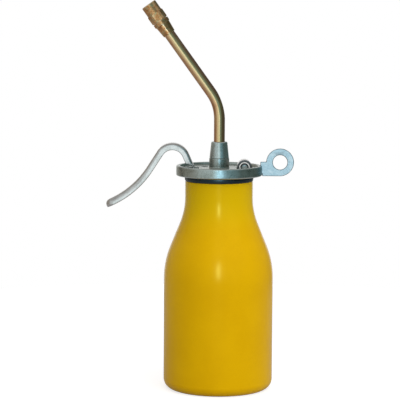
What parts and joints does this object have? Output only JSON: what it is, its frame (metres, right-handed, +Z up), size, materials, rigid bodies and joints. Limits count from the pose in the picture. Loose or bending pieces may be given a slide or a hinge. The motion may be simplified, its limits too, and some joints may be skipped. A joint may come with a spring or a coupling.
{
  "type": "oiler can",
  "caption": "Hand-pump oiler can: round plastic bottle, screwed pump head with thumb lever and hanging eye, bent metal spout with screw nozzle.",
  "frame": {"origin": "centre of the bottle's base, on the surface it stands on", "axes": "+Z up along the bottle's axis; the spout and thumb lever point to -X, the hanging eye to +X; -Y is the front"},
  "size_m": [0.1164, 0.0676, 0.2412],
  "materials": {
    "bottle_plastic": "satin moulded polyethylene, yellow",
    "seal_rubber": "black nitrile rubber",
    "head_zinc": "zinc die casting, grey satin",
    "eye_zinc": "bright zinc-plated steel sheet",
    "bright_steel": "bright steel",
    "bush_plastic": "black moulded acetal",
    "lever_zinc": "bright zinc-plated steel",
    "pump_brass": "turned brass",
    "suction_plastic": "natural polyethylene tube",
    "nut_zinc": "grey zinc-plated steel, turned",
    "spout_chromate": "yellow-chromated steel tube, iridescent",
    "nozzle_brass": "brown-gold passivated brass"
  },
  "bodies": {
    "bottle": {"bottle": "bottle_plastic"},
    "neck_seal": {"neck_seal": "seal_rubber"},
    "head": {"head_cap": "head_zinc", "hanging_eye": "eye_zinc", "hinge_pin": "bright_steel", "pump_carrier": "bright_steel", "carrier_clip": "bright_steel", "pump_barrel": "pump_brass", "barrel_nut": "pump_brass", "barrel_cap": "pump_brass", "rod_seal": "seal_rubber", "seal_washer": "bright_steel", "return_spring": "bright_steel", "foot_valve": "pump_brass", "inlet_keeper": "bright_steel", "suction_tube": "suction_plastic"},
    "lever": {"thumb_lever": "lever_zinc", "lever_bush": "bush_plastic"},
    "plunger": {"piston_rod": "bright_steel", "thrust_collar": "bright_steel", "piston": "pump_brass", "piston_seal": "seal_rubber"},
    "inlet_ball": {"inlet_ball": "bright_steel"},
    "outlet_ball": {"outlet_ball": "bright_steel"},
    "spout_seal": {"spout_seal": "seal_rubber"},
    "spout": {"spout_nut": "nut_zinc", "spout_tube": "spout_chromate", "nozzle_adapter": "nozzle_brass"},
    "nozzle_seal": {"nozzle_seal": "seal_rubber"},
    "nozzle": {"nozzle_cap": "nozzle_brass"}
  },
  "joints": [
    {"name": "head_rise", "type": "slide", "parent": "bottle", "child": "neck_seal", "axis": [0, 0, 1], "range_m": [0, 0.009]},
    {"name": "head_unscrew", "type": "hinge", "parent": "neck_seal", "child": "head", "pos_m": [0, 0, 0.1334], "axis": [0, 0, 1], "range_deg": [0, 810]},
    {"name": "lever_press", "type": "hinge", "parent": "head", "child": "lever", "pos_m": [0.0156, 0, 0.1389], "axis": [0, -1, 0], "range_deg": [0, 10], "stiffness_Nm_per_rad": 0.6, "springref_deg": -20.05},
    {"name": "piston_stroke", "type": "slide", "parent": "head", "child": "plunger", "axis": [0, 0, -1], "range_m": [0, 0.0028], "deforming": ["return_spring"]},
    {"name": "inlet_ball_lift", "type": "slide", "parent": "head", "child": "inlet_ball", "axis": [0, 0, 1], "range_m": [0, 0.0012]},
    {"name": "outlet_ball_lift", "type": "slide", "parent": "plunger", "child": "outlet_ball", "axis": [0, 0, 1], "range_m": [0, 0.0012]},
    {"name": "spout_rise", "type": "slide", "parent": "head", "child": "spout_seal", "axis": [0, 0, 1], "range_m": [0, 0.005]},
    {"name": "spout_unscrew", "type": "hinge", "parent": "spout_seal", "child": "spout", "pos_m": [0, 0, 0.1489], "axis": [0, 0, 1], "range_deg": [0, 1440]},
    {"name": "nozzle_rise", "type": "slide", "parent": "spout", "child": "nozzle_seal", "axis": [-0.585, 0, 0.8111], "range_m": [0, 0.005]},
    {"name": "nozzle_unscrew", "type": "hinge", "parent": "nozzle_seal", "child": "nozzle", "pos_m": [0, 0, 0.1774], "axis": [-0.585, 0, 0.8111], "range_deg": [0, 1800]}
  ],
  "couplings": [
    {"joint": "head_rise", "follows": "head_unscrew", "m_per_rad": 0.00063662},
    {"joint": "piston_stroke", "follows": "lever_press", "m_per_rad": 0.0156},
    {"joint": "spout_rise", "follows": "spout_unscrew", "m_per_rad": 0.00019894},
    {"joint": "nozzle_rise", "follows": "nozzle_unscrew", "m_per_rad": 0.00015915}
  ]
}
